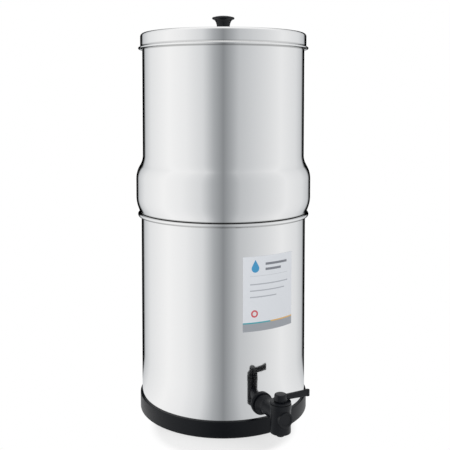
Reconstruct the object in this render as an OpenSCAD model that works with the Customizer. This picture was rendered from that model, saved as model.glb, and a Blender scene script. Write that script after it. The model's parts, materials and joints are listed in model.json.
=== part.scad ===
// Gravity water filter with tap: two stacked stainless vessels, four filter
// candles, a lid with a knob and a quarter-turn tap. Millimetres, +Z up. The
// origin is on the axis of the vessels, on the surface the filter stands on.
// The front is -Y.

/* [Base ring] */
// Thickness of the rubber band round the bottom
ring_t = 2.6; // [1.5:0.1:6]
// Height of the band
ring_h = 20.2; // [14:0.1:40]
// Thickness of the inward foot that the drum stands on
foot_t = 5; // [3:0.5:8]
// Width of the foot, inwards from the drum's wall
foot_w = 13; // [9:0.5:30]
// Radius of the band's lower outer edge
ring_edge_r = 1.2; // [0.5:0.1:1.4]
// Radius of the band's upper outer edge
ring_top_r = 0.6; // [0.3:0.1:1]

/* [Lower chamber] */
// Outer diameter of the drum
lower_od = 216; // [190:1:220]
// Height of the drum, from its underside to the top of its rim bead
lower_h = 255; // [200:1:320]
// Radius of the rolled bead at the rim
lower_bead_r = 2.65; // [2:0.05:3.5]
// Thickness of the sheet that both vessels are drawn from
wall = 0.8; // [0.5:0.05:1.2]
// Radius of the drum's bottom edge
lower_edge_r = 6; // [3:0.5:12]

/* [Upper chamber] */
// Radial play of the neck that nests in the drum
neck_gap = 1.1; // [0.8:0.1:6]
// Depth of the neck, from its floor up to its seat on the rim bead
neck_h = 15.3; // [10:0.1:20]
// How far the belly stands out beyond the straight wall above it
belly_out = 8.65; // [6:0.05:14]
// Height of the belly's widest point above the seat
belly_z = 20.4; // [17:0.1:30]
// Height above the seat where the belly starts to draw in
belly_top_z = 43.5; // [34:0.5:70]
// How far that straight wall stands in from the drum's wall
upper_inset = 2.1; // [1:0.1:6]
// Height of the vessel, from the seat to the top of its rim hem
upper_h = 215.4; // [205:0.1:260]
// Radius of the rolled hem at the rim
hem_r = 1.6; // [1.2:0.05:2.2]
// Radius of the floor's edge
floor_edge_r = 8; // [4:0.5:10]

/* [Lid] */
// How far the lid's skirt stands out from the upper chamber's wall
skirt_out = 2.6; // [2.2:0.1:4]
// How far the rolled brim stands out from the skirt
brim_out = 2.7; // [2.4:0.1:4.5]
// Thickness of the lid's sheet
lid_wall = 0.7; // [0.5:0.05:1]
// Radius of the lid's rolled edge
brim_r = 1.32; // [1.1:0.02:1.6]
// Radius of the hollow where the skirt meets the brim
brim_fillet_r = 2.2; // [1.6:0.1:4]
// Height of the straight skirt above the brim hollow
skirt_h = 11.5; // [8:0.1:30]
// Radius of the skirt's top edge
lid_edge_r = 4; // [2:0.5:6]
// Radius of the lid's crowned top
crown_r = 1250; // [900:50:3000]
// Radius of the flat in the middle of the lid
lid_land_r = 10; // [9:0.5:14]

/* [Knob] */
// Diameter of the knob's rim
knob_d = 29.3; // [24:0.1:40]
// Height of the knob
knob_h = 20.5; // [16:0.5:30]
// Diameter of the knob's foot
knob_foot_d = 16.3; // [14:0.1:18]
// Thickness of the knob's rim
knob_rim_t = 2.9; // [2.4:0.1:4]
// Rise of the knob's domed top
knob_dome = 1.9; // [1:0.1:3]
// Diameter of the lid screw
screw_d = 5; // [4:0.5:6]
// Length of the screw inside the knob
screw_grip = 11; // [8:0.5:13]
// Diameter of the screw's head
screw_head_d = 9.4; // [8:0.1:12]
// Thickness of the screw's head
screw_head_t = 2.8; // [2:0.1:4]
// Outer diameter of the washer under the screw's head
lid_washer_od = 14; // [12:0.5:18]
// Thickness of that washer
lid_washer_t = 1; // [0.6:0.1:1.6]
// Width of the slot in the screw's head
slot_w = 1.2; // [0.8:0.1:1.6]
// Depth of the slot
slot_depth = 1; // [0.6:0.1:1.4]

/* [Front label] */
// Bearing of the label's left edge, to the right of the front
label_from = 12.5; // [0:0.5:20]
// Angle that the label spans
label_span = 39; // [20:1:60]
// Height of the label's lower edge
label_z = 128.3; // [60:0.1:150]
// Height of the label
label_h = 91; // [40:1:100]
// Thickness of the label
label_t = 0.25; // [0.1:0.05:0.5]
// Thickness of the glue between the label and the drum, left empty
label_glue = 0.03; // [0.01:0.01:0.1]

/* [Tap body] */
// Bearing of the tap, to the right of the front
tap_angle = 25.5; // [-60:0.1:60]
// Height of the tap's shank above the table
tap_z = 38.6; // [36:0.1:80]
// Distance from the drum's wall to the axis of the barrel
tap_reach = 46; // [36:1:70]
// Outer diameter of the threaded shank
shank_d = 16; // [14:0.5:20]
// Diameter of the water way along the shank
shank_bore_d = 9; // [6:0.5:10]
// Diameter of the flange outside the washer
flange_d = 23.5; // [22:0.5:28]
// Thickness of the flange
flange_t = 4; // [3:0.5:6]
// Length of the cone between the shank and the flange
flange_cone_l = 7; // [3:0.5:12]
// Diameter of that cone at the flange
flange_cone_d = 20; // [17:0.5:23]
// Diameter of the barrel
barrel_d = 24.4; // [22:0.1:28]
// Diameter of the collar round the barrel's top
collar_d = 25.4; // [24.6:0.1:30]
// Height of the collar
collar_h = 5.5; // [3:0.5:8]
// Height of the barrel above the shank's axis
barrel_up = 17.4; // [16:0.1:24]
// Depth of the barrel below the shank's axis
barrel_down = 16.8; // [16:0.1:22]
// Height of the taper at the barrel's bottom
barrel_taper_h = 1; // [0.5:0.1:4]
// Width of that taper
barrel_taper_w = 0.6; // [0.3:0.1:3]
// Diameter of the outlet lip
outlet_d = 9.5; // [9:0.1:12]
// Diameter of the outlet at the barrel's bottom
outlet_root_d = 13; // [10:0.5:18]
// Diameter of the outlet's bore
outlet_bore_d = 7; // [5:0.1:7.5]
// Length of the outlet lip
outlet_h = 4.6; // [2:0.1:6]
// Diameter of the round boss on the barrel's front
boss_d = 18; // [14:0.1:20]
// Height of the boss's axis above the shank's axis
boss_up = 1.5; // [0:0.1:5]
// How far the boss stands out of the barrel
boss_out = 1.2; // [0.9:0.1:6]
// Diameter of the sunk disc in the boss
boss_disc_d = 12; // [8:0.5:12]
// Depth of the sunk disc
boss_disc_t = 0.8; // [0.4:0.1:1.2]

/* [Tap fixings] */
// Outer diameter of both tap washers
tap_washer_od = 27.5; // [25:0.5:32]
// Thickness of the outer washer at its middle
outer_washer_t = 3; // [2:0.5:5]
// Thickness of the inner washer at its middle
inner_washer_t = 2.5; // [2:0.5:5]
// Size of the back nut across its flats
back_nut_af = 24; // [22:0.5:30]
// Thickness of the back nut
back_nut_t = 6; // [5:0.5:10]
// Length of shank that shows beyond the nut
shank_end = 4.5; // [2:0.5:8]

/* [Tap valve] */
// Diameter of the bore that the core turns in
core_bore_d = 17; // [16:0.5:18]
// Radial running clearance of the core in its bore
core_gap = 0.05; // [0.03:0.01:0.08]
// Height of the bore's bottom above the barrel's bottom
core_bore_floor = 6; // [5:0.5:7]
// Diameter of the core's water ways
core_port_d = 6.6; // [5:0.1:7]
// Diameter of the flange on top of the core
core_flange_d = 24.6; // [23:0.1:28]
// Thickness of that flange
core_flange_t = 2.4; // [2:0.1:5]
// Width of the square drive on top of the core
drive_w = 6.4; // [5:0.1:7]
// Diameter of the sealing rings' section
ring_section_d = 1.5; // [1.2:0.1:1.8]
// Gap between the end of the drive and the lever's socket
drive_gap = 0.5; // [0.3:0.1:1]
// Distance of each sealing ring from the shank's axis, up
seal_up = 9; // [7:0.5:11]
// Distance of the other sealing ring from the shank's axis, down
seal_down = 6; // [5:0.1:6.5]

/* [Tap lever] */
// Diameter of the lever's hub
hub_d = 14.4; // [12:0.1:16]
// Height of the hub above the core's flange
hub_h = 8.2; // [7:0.1:10]
// Diameter of the hub's foot
hub_foot_d = 15.8; // [15.2:0.1:20]
// Height of the foot
hub_foot_h = 3.4; // [1:0.1:4]
// Thickness of the hub's top, over the drive
hub_cap_t = 1.5; // [1.2:0.1:2.5]
// Length of the lever, from the barrel's axis to its tip
lever_l = 39; // [28:0.5:50]
// Height of the blade at the hub
blade_h1 = 6; // [3:0.1:7]
// Height of the blade at its tip
blade_h2 = 7.4; // [4:0.1:9]
// Thickness of the blade
blade_t = 4; // [3:0.1:5]
// Height of the blade's underside above the core's flange, at the hub
blade_lift = 0.4; // [0.2:0.1:2]
// How far the blade runs into the hub
blade_root = 2; // [1:0.1:2.2]
// Diameter of the upright end block
lever_end_d = 5.4; // [4.5:0.1:7]
// Height of the end block
lever_end_h = 7.6; // [5:0.1:10]

/* [Filter candles] */
// Number of candles
candles = 4; // [2:1:4]
// Diameter of the circle that the candles stand on
candle_pcd = 112; // [90:1:130]
// Outer diameter of the ceramic shell
shell_od = 50; // [40:1:52]
// Length of the ceramic shell
shell_h = 170; // [100:1:175]
// Wall of the ceramic shell
shell_wall = 8; // [6:0.5:10]
// Diameter of the base cap
cap_d = 57; // [53:1:60]
// Height of the base cap
cap_h = 13; // [10:0.5:18]
// Depth of the socket that holds the shell
cap_socket = 9; // [6:0.5:9]
// Outer diameter of the outlet stem
stem_d = 12; // [10:0.5:14]
// Bore of the outlet stem
stem_bore_d = 5; // [3:0.5:6]
// Length of stem below the sealing washer
stem_l = 26; // [20:1:34]
// Gap between the carbon core and the shell
carbon_gap = 0.5; // [0.3:0.1:2]
// Bore of the carbon core
carbon_bore_d = 7; // [5:0.5:10]
// Outer diameter of the sealing washer
candle_washer_od = 30; // [24:1:40]
// Thickness of the sealing washer
candle_washer_t = 3; // [2:0.5:4]
// Diameter of the wing nut's hub
wing_hub_d = 18; // [16:0.5:22]
// Height of the wing nut's hub
wing_hub_h = 9; // [7:0.5:12]
// Span over the two wings
wing_span = 38; // [32:1:46]
// Thickness of a wing
wing_t = 3; // [2:0.5:4]
// Radius of a wing's round end
wing_r = 6.5; // [5:0.5:8]
// Height of the web between the hub and a wing's end
wing_web_h = 6; // [4:0.5:8]

/* [Fits] */
// Gap between pieces that lift off and their seats
fit_gap = 0.3; // [0.2:0.05:0.5]
// Radial gap between a fixed piece and the hole it passes through
hole_gap = 0.3; // [0.2:0.05:0.6]
// Radial gap of a screw thread in its nut, drawn plain
thread_gap = 0.05; // [0.03:0.01:0.1]

/* [Hidden] */
CANDLE_PIECES = ["ceramic_shell", "carbon_core", "candle_base", "candle_washer", "wing_nut"];
$fn = 96;
fine = 720;

// How far a cut runs past the face that it opens
over = 1;

// Angles at which the rolled edges stop, just short of their own wall
bead_end = -120;
hem_end = -100;
brim_end = -220;

steel = "#c9cbcd";
black = "#1b1d20";
rubber = "#26282a";

// Drum and its rim
lower_r = lower_od / 2;
lower_in = lower_r - wall;
rim_z = foot_t + lower_h;
lower_bead = [lower_in + lower_bead_r, rim_z - lower_bead_r];

// Upper chamber: the seat rests on the rim bead
upper_r = lower_r - upper_inset;
neck_r = lower_in - neck_gap;
belly_r = upper_r + belly_out;
seat_z = rim_z + fit_gap;
floor_z = seat_z - neck_h;
seat_r = lower_bead[0] - neck_r;
shoulder_r = 2.2;
flank_angle = 20;
flank_arc_r = 40;
belly_arc_r = 33;
waist_angle = 31.6;
hem = [upper_r - wall + hem_r, seat_z + upper_h - hem_r];

// Lid: its brim hollow rests on the hem
skirt_r = upper_r + skirt_out;
brim_hollow_r = skirt_r + brim_fillet_r;
brim_edge_r = skirt_r + brim_out - brim_r;
hem_reach = hem_r + fit_gap + lid_wall + brim_fillet_r;
hollow_z = hem[1] + sqrt(pow(hem_reach, 2) - pow(brim_hollow_r - hem[0], 2));
edge_dz = sqrt(pow(brim_fillet_r + brim_r, 2) - pow(brim_hollow_r - brim_edge_r, 2));
edge_z = hollow_z - edge_dz;
edge_angle = atan2(edge_dz, brim_hollow_r - brim_edge_r);
lid_corner_z = hollow_z + skirt_h;
crown_angle = asin((skirt_r - lid_edge_r - lid_land_r) / (crown_r - lid_edge_r));
crown_z = lid_corner_z - (crown_r - lid_edge_r) * cos(crown_angle);
lid_top_z = crown_z + crown_r;

// Tap, in its own frame: the barrel's axis is at x = 0, y = 0 and the drum lies on +Y
tap_r = lower_r + tap_reach;
tap_wall_y = tap_r - lower_r;
tap_inside_y = tap_wall_y + wall;
flange_y = tap_wall_y - outer_washer_t - flange_t;
nut_y = tap_inside_y + inner_washer_t;
shank_l = nut_y + back_nut_t + shank_end;
barrel_top = tap_z + barrel_up;
barrel_bottom = tap_z - barrel_down;
boss_y = -barrel_d / 2 - boss_out;
core_floor = barrel_bottom + core_bore_floor;
core_d = core_bore_d - 2 * core_gap;
core_top = barrel_top + fit_gap;
hub_z = core_top + core_flange_t;
blade_z = hub_z + blade_lift + blade_h1 / 2;
drive_h = hub_h - hub_cap_t - drive_gap;
lever_end_x = lever_l - lever_end_d / 2;
groove_r = core_bore_d / 2 - core_gap - ring_section_d;
washer_r = tap_washer_od / 2;
wall_sag = lower_r - sqrt(pow(lower_r, 2) - pow(washer_r, 2));

// Candles: their sealing washers lie on the floor of the upper chamber
floor_top = floor_z + wall;
cap_z = floor_top + candle_washer_t;
shell_z = cap_z + cap_h - cap_socket;
stem_bottom = cap_z - candle_washer_t - stem_l;
core_r = shell_od / 2 - shell_wall - carbon_gap;

// Points of an arc about c, from angle a to angle b
function arc(c, r, a, b, n) =
    [for (i = [0:n]) let (t = a + (b - a) * i / n) c + r * [cos(t), sin(t)]];

// Points of a cubic curve with end points a and d and handles b and c
function curve(a, b, c, d, n) =
    [for (i = [0:n]) let (t = i / n, s = 1 - t)
        s * s * s * a + 3 * s * s * t * b + 3 * s * t * t * c + t * t * t * d];

function unit(v) = v / norm(v);

// Direction of a path at point i, between its two neighbours
function heading(path, i) =
    let (last = len(path) - 1)
    i == 0 ? unit(path[1] - path[0])
    : i == last ? unit(path[last] - path[last - 1])
    : unit(unit(path[i + 1] - path[i]) + unit(path[i] - path[i - 1]));

// The same path moved sideways by t, to the left of its direction, each stretch parallel
function aside(path, t) =
    let (last = len(path) - 1)
    [for (i = [0:last])
        let (h = heading(path, i),
            k = min(i, last - 1),
            stretch = unit(path[k + 1] - path[k]))
        path[i] + t / (h * stretch) * [-h[1], h[0]]];

// A path without its first point, for an arc that runs on from the one before
function onward(path) = [for (i = [1:len(path) - 1]) path[i]];

function backwards(path) = [for (i = [len(path) - 1:-1:0]) path[i]];

// Pressed and spun sheet: a path turned round the axis, with its thickness t on the left
module sheet(path, t) {
    rotate_extrude() polygon(concat(path, backwards(aside(path, t))));
}

module tube(d, bore, h) {
    difference() {
        cylinder(d = d, h = h);
        translate([0, 0, -over]) cylinder(d = bore, h = h + 2 * over);
    }
}

// A cylinder along Y, from y1 to y2
module rod_y(d, y1, y2, z = 0, fn = $fn) {
    translate([0, y1, z]) rotate([-90, 0, 0]) cylinder(d = d, h = y2 - y1, $fn = fn);
}

module at_tap() {
    rotate([0, 0, tap_angle]) translate([0, -tap_r, 0]) children();
}

module at_candle(i) {
    rotate([0, 0, 180 / candles + 360 / candles * (i - 1)]) translate([candle_pcd / 2, 0, 0])
        children();
}

// ---- lower unit ----

module base_ring() {
    outer = lower_r + ring_t;
    inner = lower_r - foot_w;
    band = concat(
        [[inner, foot_t], [inner, 0]],
        arc([outer - ring_edge_r, ring_edge_r], ring_edge_r, -90, 0, 6),
        arc([outer - ring_top_r, ring_h - ring_top_r], ring_top_r, 0, 90, 4),
        [[lower_r, ring_h], [lower_r, foot_t]]);
    color(rubber) rotate_extrude() polygon(band);
}

module lower_chamber() {
    edge = lower_edge_r - wall;
    inside = concat(
        [[0, foot_t + wall]],
        arc([lower_in - edge, foot_t + wall + edge], edge, -90, 0, 8),
        arc(lower_bead, lower_bead_r, 180, bead_end, 20));
    color(steel) difference() {
        sheet(inside, -wall);
        at_tap() rod_y(shank_d + 2 * hole_gap, tap_wall_y - over, tap_inside_y + over, tap_z);
    }
}

module front_label() {
    color("#dfe6ec") rotate([0, 0, label_from - 90]) rotate_extrude(angle = label_span)
        translate([lower_r + label_glue, label_z]) square([label_t, label_h]);
}

module tap_body() {
    color(black) at_tap() difference() {
        union() {
            translate([0, 0, barrel_bottom])
                cylinder(d1 = barrel_d - 2 * barrel_taper_w, d2 = barrel_d, h = barrel_taper_h);
            translate([0, 0, barrel_bottom + barrel_taper_h])
                cylinder(d = barrel_d, h = barrel_up + barrel_down - barrel_taper_h);
            translate([0, 0, barrel_top - collar_h]) cylinder(d = collar_d, h = collar_h);
            translate([0, 0, barrel_bottom - outlet_h])
                cylinder(d1 = outlet_d, d2 = outlet_root_d, h = outlet_h);
            rod_y(shank_d, 0, shank_l, tap_z);
            rod_y(flange_d, flange_y, flange_y + flange_t, tap_z);
            translate([0, flange_y - flange_cone_l, tap_z]) rotate([-90, 0, 0])
                cylinder(d1 = shank_d, d2 = flange_cone_d, h = flange_cone_l);
            rod_y(boss_d, boss_y, 0, tap_z + boss_up);
        }
        translate([0, 0, core_floor]) cylinder(d = core_bore_d, h = barrel_top - core_floor + over);
        translate([0, 0, barrel_bottom - outlet_h - over])
            cylinder(d = outlet_bore_d, h = core_bore_floor + outlet_h + 2 * over);
        rod_y(shank_bore_d, 0, shank_l + over, tap_z);
        rod_y(boss_disc_d, boss_y - over, boss_y + boss_disc_t, tap_z + boss_up);
    }
}

module tap_outer_washer() {
    color(rubber) at_tap() difference() {
        rod_y(tap_washer_od, flange_y + flange_t, tap_wall_y + 2 * wall_sag, tap_z);
        rod_y(shank_d + 2 * hole_gap, 0, tap_r, tap_z);
        translate([0, tap_r, 0]) cylinder(r = lower_r, h = 2 * tap_z, $fn = fine);
    }
}

module tap_inner_washer() {
    color(rubber) at_tap() difference() {
        intersection() {
            rod_y(tap_washer_od, tap_inside_y - over, nut_y, tap_z);
            translate([0, tap_r, 0]) cylinder(r = lower_in, h = 2 * tap_z, $fn = fine);
        }
        rod_y(shank_d + 2 * hole_gap, 0, tap_r, tap_z);
    }
}

module tap_back_nut() {
    color(black) at_tap() difference() {
        rod_y(back_nut_af / cos(30), nut_y, nut_y + back_nut_t, tap_z, 6);
        rod_y(shank_d + 2 * thread_gap, nut_y - over, nut_y + back_nut_t + over, tap_z);
    }
}

// ---- tap valve: shut, with its port turned away from the shank ----

module core_groove(z) {
    translate([0, 0, z - ring_section_d / 2])
        tube(core_bore_d + 2 * over, 2 * groove_r, ring_section_d);
}

module tap_core() {
    color(black) at_tap() difference() {
        union() {
            translate([0, 0, core_floor + fit_gap])
                cylinder(d = core_d, h = core_top - core_floor - fit_gap);
            translate([0, 0, core_top]) cylinder(d = core_flange_d, h = core_flange_t);
            translate([-drive_w / 2, -drive_w / 2, core_top])
                cube([drive_w, drive_w, core_flange_t + drive_h]);
        }
        core_groove(tap_z + seal_up);
        core_groove(tap_z - seal_down);
        translate([0, 0, core_floor]) cylinder(d = core_port_d, h = tap_z - core_floor);
        translate([0, 0, tap_z]) rotate([0, -90, 0]) cylinder(d = core_port_d, h = core_bore_d);
    }
}

module core_o_ring(z) {
    color(rubber) at_tap() translate([0, 0, z]) rotate_extrude()
        translate([groove_r + ring_section_d / 2, 0]) circle(d = ring_section_d, $fn = 24);
}

module tap_lever() {
    tip = lever_end_x;
    root = hub_d / 2 - blade_root;
    color(black) at_tap() difference() {
        union() {
            translate([0, 0, hub_z]) cylinder(d = hub_foot_d, h = hub_foot_h);
            translate([0, 0, hub_z]) cylinder(d = hub_d, h = hub_h);
            translate([0, blade_t / 2, blade_z]) rotate([90, 0, 0]) linear_extrude(blade_t)
                polygon([[root, -blade_h1 / 2], [tip, -blade_h2 / 2],
                    [tip, blade_h2 / 2], [root, blade_h1 / 2]]);
            translate([tip, 0, blade_z - lever_end_h / 2])
                cylinder(d = lever_end_d, h = lever_end_h);
        }
        socket = drive_w + 2 * thread_gap;
        translate([-socket / 2, -socket / 2, hub_z - over])
            cube([socket, socket, over + hub_h - hub_cap_t]);
    }
}

// ---- upper unit ----

module upper_chamber() {
    flank_end = [belly_r - flank_arc_r * (1 - cos(flank_angle)),
        seat_z + belly_z - flank_arc_r * sin(flank_angle)];
    shoulder = [flank_end[0] - shoulder_r * cos(flank_angle)
        - (flank_end[1] - seat_z - shoulder_r * (1 - sin(flank_angle))) * tan(flank_angle),
        seat_z + shoulder_r];
    drop = belly_r - upper_r - belly_arc_r * (1 - cos(waist_angle));
    waist_arc_r = drop / (1 - cos(waist_angle));
    belly_top = seat_z + belly_top_z;
    waist_z = belly_top + (belly_arc_r + waist_arc_r) * sin(waist_angle);
    outside = concat(
        [[0, floor_z]],
        arc([neck_r - floor_edge_r, floor_z + floor_edge_r], floor_edge_r, -90, 0, 10),
        arc([neck_r + seat_r, seat_z - seat_r], seat_r, 180, 95, 8),
        arc(shoulder, shoulder_r, -90, -flank_angle, 4),
        arc([belly_r - flank_arc_r, seat_z + belly_z], flank_arc_r, -flank_angle, 0, 10),
        arc([belly_r - belly_arc_r, belly_top], belly_arc_r, 0, waist_angle, 12),
        onward(arc([upper_r + waist_arc_r, waist_z], waist_arc_r, 180 + waist_angle, 180, 12)),
        arc(hem, hem_r - wall, 180, hem_end, 14));
    color(steel) difference() {
        sheet(outside, wall);
        for (i = [1:candles]) at_candle(i) translate([0, 0, floor_z - over])
            cylinder(d = stem_d + 2 * hole_gap, h = wall + 2 * over);
    }
}

module ceramic_shell(i) {
    r = shell_od / 2;
    inner = r - shell_wall;
    outer_wall = concat([[r, 0]], arc([0, shell_h - r], r, 0, 90, 16));
    inner_wall = concat([[inner, 0]], arc([0, shell_h - r], inner, 0, 90, 12));
    color("#efe9dc") at_candle(i) translate([0, 0, shell_z])
        rotate_extrude() polygon(concat(outer_wall, backwards(inner_wall)));
}

module carbon_core(i) {
    color("#2a2a2b") at_candle(i) translate([0, 0, shell_z])
        tube(2 * core_r, carbon_bore_d, shell_h - shell_od / 2 - carbon_gap);
}

module candle_base(i) {
    color("#e8ebee") at_candle(i) difference() {
        union() {
            translate([0, 0, cap_z]) cylinder(d = cap_d, h = cap_h);
            translate([0, 0, stem_bottom]) cylinder(d = stem_d, h = cap_z - stem_bottom + over);
        }
        translate([0, 0, shell_z]) cylinder(d = shell_od + 2 * hole_gap, h = cap_h);
        translate([0, 0, stem_bottom - over])
            cylinder(d = stem_bore_d, h = shell_z - stem_bottom + 2 * over);
    }
}

module candle_washer(i) {
    color(rubber) at_candle(i) translate([0, 0, floor_top])
        tube(candle_washer_od, stem_d + 2 * hole_gap, candle_washer_t);
}

module wing_nut(i) {
    wing_x = wing_span / 2 - wing_r;
    color("#e8ebee") at_candle(i) translate([0, 0, floor_z - wing_hub_h]) difference() {
        union() {
            cylinder(d = wing_hub_d, h = wing_hub_h);
            for (side = [-1, 1]) translate([0, wing_t / 2, 0]) rotate([90, 0, 0])
                linear_extrude(wing_t) {
                    translate([side * wing_x, 0]) circle(r = wing_r);
                    translate([side * wing_x / 2, 0]) square([wing_x, wing_web_h], center = true);
                }
        }
        translate([0, 0, -wing_hub_h]) cylinder(d = stem_d + 2 * thread_gap, h = 3 * wing_hub_h);
    }
}

// ---- lid unit ----

module lid() {
    outside = concat(
        [[0, lid_top_z]],
        arc([lid_land_r, crown_z], crown_r, 90, 90 - crown_angle, 10),
        onward(arc([skirt_r - lid_edge_r, lid_corner_z], lid_edge_r, 90 - crown_angle, 0, 8)),
        arc([brim_hollow_r, hollow_z], brim_fillet_r, 180, 180 + edge_angle, 10),
        onward(arc([brim_edge_r, edge_z], brim_r, edge_angle, brim_end, 18)));
    color(steel) difference() {
        sheet(outside, -lid_wall);
        translate([0, 0, lid_top_z - lid_wall - over])
            cylinder(d = screw_d + 2 * hole_gap, h = lid_wall + 2 * over);
    }
}

module lid_knob() {
    rim_r = knob_d / 2;
    foot_r = knob_foot_d / 2;
    rim_top = knob_h - knob_dome;
    edge_r = knob_rim_t / 2;
    dome_r = (pow(rim_r - edge_r, 2) + pow(knob_dome, 2)) / (2 * knob_dome);
    dome_angle = asin((rim_r - edge_r) / dome_r);
    under = rim_top - knob_rim_t;
    waist_rise = 0.55;
    flare_rise = 0.92;
    flare_out = 1.2;
    outside = concat(
        [[0, 0]],
        curve([foot_r, 0], [foot_r, under * waist_rise],
            [foot_r + flare_out, under * flare_rise], [rim_r - edge_r, under], 14),
        arc([rim_r - edge_r, under + edge_r], edge_r, -80, 80, 8),
        arc([0, knob_h - dome_r], dome_r, 90 - dome_angle, 90, 8));
    color(black) translate([0, 0, lid_top_z]) difference() {
        rotate_extrude() polygon(outside);
        translate([0, 0, -over]) cylinder(d = screw_d + 2 * thread_gap, h = screw_grip + 2 * over);
    }
}

module lid_washer() {
    color(rubber) translate([0, 0, lid_top_z - lid_wall - lid_washer_t])
        tube(lid_washer_od, screw_d + 2 * hole_gap, lid_washer_t);
}

module lid_screw() {
    head_z = lid_top_z - lid_wall - lid_washer_t - screw_head_t;
    color("#b9bcc0") difference() {
        union() {
            translate([0, 0, head_z]) cylinder(d = screw_head_d, h = screw_head_t);
            translate([0, 0, head_z]) cylinder(d = screw_d, h = lid_top_z - head_z + screw_grip);
        }
        translate([-slot_w / 2, -screw_head_d / 2 - over, head_z - over])
            cube([slot_w, screw_head_d + 2 * over, slot_depth + over]);
    }
}

base_ring();
lower_chamber();
front_label();
tap_body();
tap_outer_washer();
tap_inner_washer();
tap_back_nut();
tap_core();
core_o_ring(tap_z + seal_up);  // core_o_ring_upper
core_o_ring(tap_z - seal_down);  // core_o_ring_lower
tap_lever();
upper_chamber();
for (i = [1:candles]) {
    ceramic_shell(i);
    carbon_core(i);
    candle_base(i);
    candle_washer(i);
    wing_nut(i);
}
lid();
lid_knob();
lid_screw();
lid_washer();
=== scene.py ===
# %% [markdown]
# # A gravity water filter, dressed for its picture
#
# The solids of the filter are already made, in millimetres, and come in as a fixed frame. Here they get
# the looks: finely turned steel, moulded plastic, rubber, ceramic and a printed label. Nearly every piece
# of the real thing is turned, spun or pressed round an axis, so nearly every mesh below is an outline
# that is spun. Everything is in metres, with the vessels' axis at x = 0, y = 0 and the front at -Y.

# %% Load the frame
import json
import math

import bmesh
import bpy
from mathutils import Matrix, Vector


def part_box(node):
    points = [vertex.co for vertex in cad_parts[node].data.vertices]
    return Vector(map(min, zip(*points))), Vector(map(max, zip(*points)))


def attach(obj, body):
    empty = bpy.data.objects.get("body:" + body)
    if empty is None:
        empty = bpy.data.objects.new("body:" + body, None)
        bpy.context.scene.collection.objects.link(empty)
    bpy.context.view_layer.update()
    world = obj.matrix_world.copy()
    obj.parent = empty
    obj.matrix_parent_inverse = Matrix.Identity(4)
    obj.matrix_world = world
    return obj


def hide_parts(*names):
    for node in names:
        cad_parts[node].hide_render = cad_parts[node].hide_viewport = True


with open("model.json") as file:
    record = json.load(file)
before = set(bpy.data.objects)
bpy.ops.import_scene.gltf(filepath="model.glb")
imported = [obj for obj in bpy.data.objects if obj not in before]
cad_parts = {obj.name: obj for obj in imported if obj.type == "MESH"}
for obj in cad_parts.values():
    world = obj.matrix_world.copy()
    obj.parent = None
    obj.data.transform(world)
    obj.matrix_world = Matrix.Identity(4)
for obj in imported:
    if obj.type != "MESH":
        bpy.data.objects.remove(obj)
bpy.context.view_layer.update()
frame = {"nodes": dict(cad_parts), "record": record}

# %% [markdown]
# ## Sizes
#
# The vessels of the real thing are made to fit each other: one rests on the rim of the next. Their levels
# could be typed in, but here they are read from the frame, so that the pieces land on the solids that they
# stand for. A sheet-metal worker would add the thickness of the sheet, the radii of the bends and the play
# between the vessels, which are the values below.

# %% Levels and sheet
MM = 0.001
SHEET = 0.8 * MM
LID_SHEET = 0.7 * MM
PLAY = 0.3 * MM

RING_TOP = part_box("base_ring")[1].z
DRUM_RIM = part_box("lower_chamber")[1].z
SEAT = DRUM_RIM + PLAY
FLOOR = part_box("upper_chamber")[0].z
HEM_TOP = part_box("upper_chamber")[1].z
LID_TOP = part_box("lid")[1].z
KNOB_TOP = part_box("lid_knob")[1].z

DRUM_R = 108 * MM
DRUM_BASE = 5 * MM
UPPER_R = 105.9 * MM
NECK_R = 106.1 * MM
SKIRT_R = 108.5 * MM
print("rim", DRUM_RIM, "seat", SEAT, "hem", HEM_TOP, "lid", LID_TOP)

# %% [markdown]
# ## Outlines
#
# An outline is drawn in a flat plane as a list of (radius, height) points. Straight stretches need only
# their ends, and round ones come from an arc or from a curve with two handles. Sheet metal has two sides,
# so its outline is one side and a parallel copy of it, joined into a closed loop.

# %% Arcs, curves and parallels
def arc(centre, radius, start, end, steps):
    """Points of an arc, with its angles in degrees."""
    angles = [math.radians(start + (end - start) * i / steps) for i in range(steps + 1)]
    return [(centre[0] + radius * math.cos(a), centre[1] + radius * math.sin(a)) for a in angles]


def curve(a, b, c, d, steps):
    """Points of a curve from a to d, drawn towards the handles b and c."""
    points = []
    for i in range(steps + 1):
        t = i / steps
        s = 1 - t
        weights = (s ** 3, 3 * s * s * t, 3 * s * t * t, t ** 3)
        points.append(tuple(sum(w * p[k] for w, p in zip(weights, (a, b, c, d))) for k in (0, 1)))
    return points


def parallel(path, offset):
    """The path moved sideways, to the left of its direction."""
    points = [Vector(p) for p in path]
    stretches = [(b - a).normalized() for a, b in zip(points, points[1:])]
    moved = []
    for i, point in enumerate(points):
        before = stretches[max(i - 1, 0)]
        after = stretches[min(i, len(stretches) - 1)]
        heading = (before + after).normalized()
        side = Vector((-heading.y, heading.x))
        moved.append(tuple(point + side * offset / heading.dot(after)))
    return moved


def sheet_outline(path, thickness):
    """A closed outline of sheet metal, with its thickness to the left of the path."""
    return path + parallel(path, thickness)[::-1]


# %% [markdown]
# ## Turning
#
# `bmesh.ops.spin` carries an outline round an axis, as a lathe does. A full turn is merged at its seam, and
# the points on the axis are merged into poles. The faces are then turned outwards and shaded smooth, with
# sharp edges only where the surface really turns a corner.

# %% Turn an outline
ROUND = 192
SMALL_ROUND = 64
CORNER = math.radians(32)
WELD = 1e-6


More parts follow.
